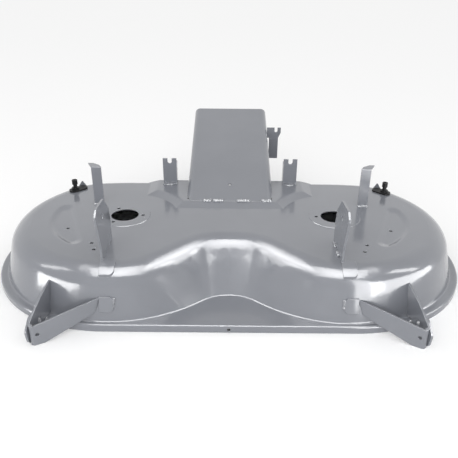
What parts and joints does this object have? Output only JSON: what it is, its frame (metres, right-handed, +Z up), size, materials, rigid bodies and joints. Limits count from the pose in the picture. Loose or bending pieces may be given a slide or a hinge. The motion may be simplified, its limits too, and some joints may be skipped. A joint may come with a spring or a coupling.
{
  "type": "lawn mower deck",
  "caption": "Pressed steel twin-lobe mower deck shell with a rim flange, rear discharge chute, hanger, belt guide, fork and front wheel brackets and black wash fittings.",
  "frame": {"origin": "middle of the footprint, on the ground under the rim", "axes": "+X to the right along the line of the two spindles, +Y to the rear where the chute leaves, +Z up"},
  "size_m": [1.095, 0.8556, 0.2453],
  "materials": {
    "deck_paint": "gloss grey paint",
    "weld_paint": "painted weld bead",
    "black_plastic": "black moulded"
  },
  "bodies": {
    "root": {"deck_shell": "deck_paint", "discharge_chute": "deck_paint", "chute_side_bracket": "deck_paint", "fork_bracket_left": "deck_paint", "fork_bracket_right": "deck_paint", "belt_guide_left": "deck_paint", "belt_guide_right": "deck_paint", "hanger_bracket_left": "deck_paint", "hanger_bracket_right": "deck_paint", "wheel_brace_left": "deck_paint", "wheel_brace_right": "deck_paint", "wheel_cheek_left": "deck_paint", "wheel_cheek_right": "deck_paint", "wash_nozzle_left": "black_plastic", "wash_nozzle_right": "black_plastic", "wash_lug_left": "deck_paint", "wash_lug_right": "deck_paint", "chute_welds": "weld_paint", "bracket_welds": "weld_paint"}
  },
  "joints": []
}
